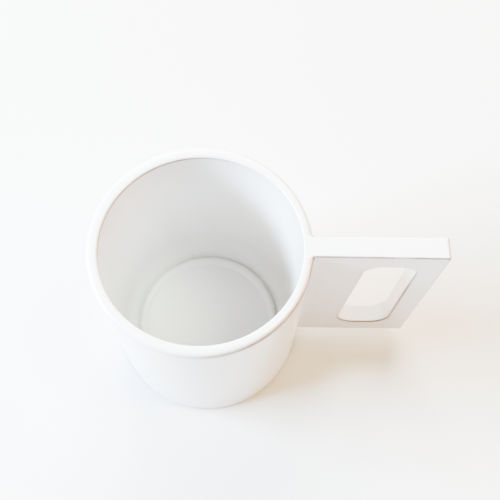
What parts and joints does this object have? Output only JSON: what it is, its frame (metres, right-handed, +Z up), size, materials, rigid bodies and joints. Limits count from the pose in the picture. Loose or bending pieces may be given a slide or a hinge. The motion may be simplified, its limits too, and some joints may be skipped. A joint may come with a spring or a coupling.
{
  "type": "ceramic mug",
  "caption": "Straight-sided white glazed mug with a flat slab handle that has a tall rounded window and stands level with the rim.",
  "frame": {"origin": "centre of the flat foot, on the cup's axis and on the surface that the mug stands on", "axes": "+Z up the cup's axis, +X from the axis out along the handle, +Y across the handle's thickness"},
  "size_m": [0.1347, 0.084, 0.1],
  "materials": {
    "base_glaze": "glossy white glaze above, bare clay on the foot",
    "wall_glaze": "glossy white glaze that breaks thin and pinkish brown on the edges",
    "handle_glaze": "glossy white glaze that breaks thin and pinkish brown on the edges"
  },
  "bodies": {
    "root": {"base": "base_glaze", "wall": "wall_glaze", "floor_coil": "wall_glaze", "handle": "handle_glaze", "handle_coil_front": "handle_glaze", "handle_coil_back": "handle_glaze"}
  },
  "joints": []
}
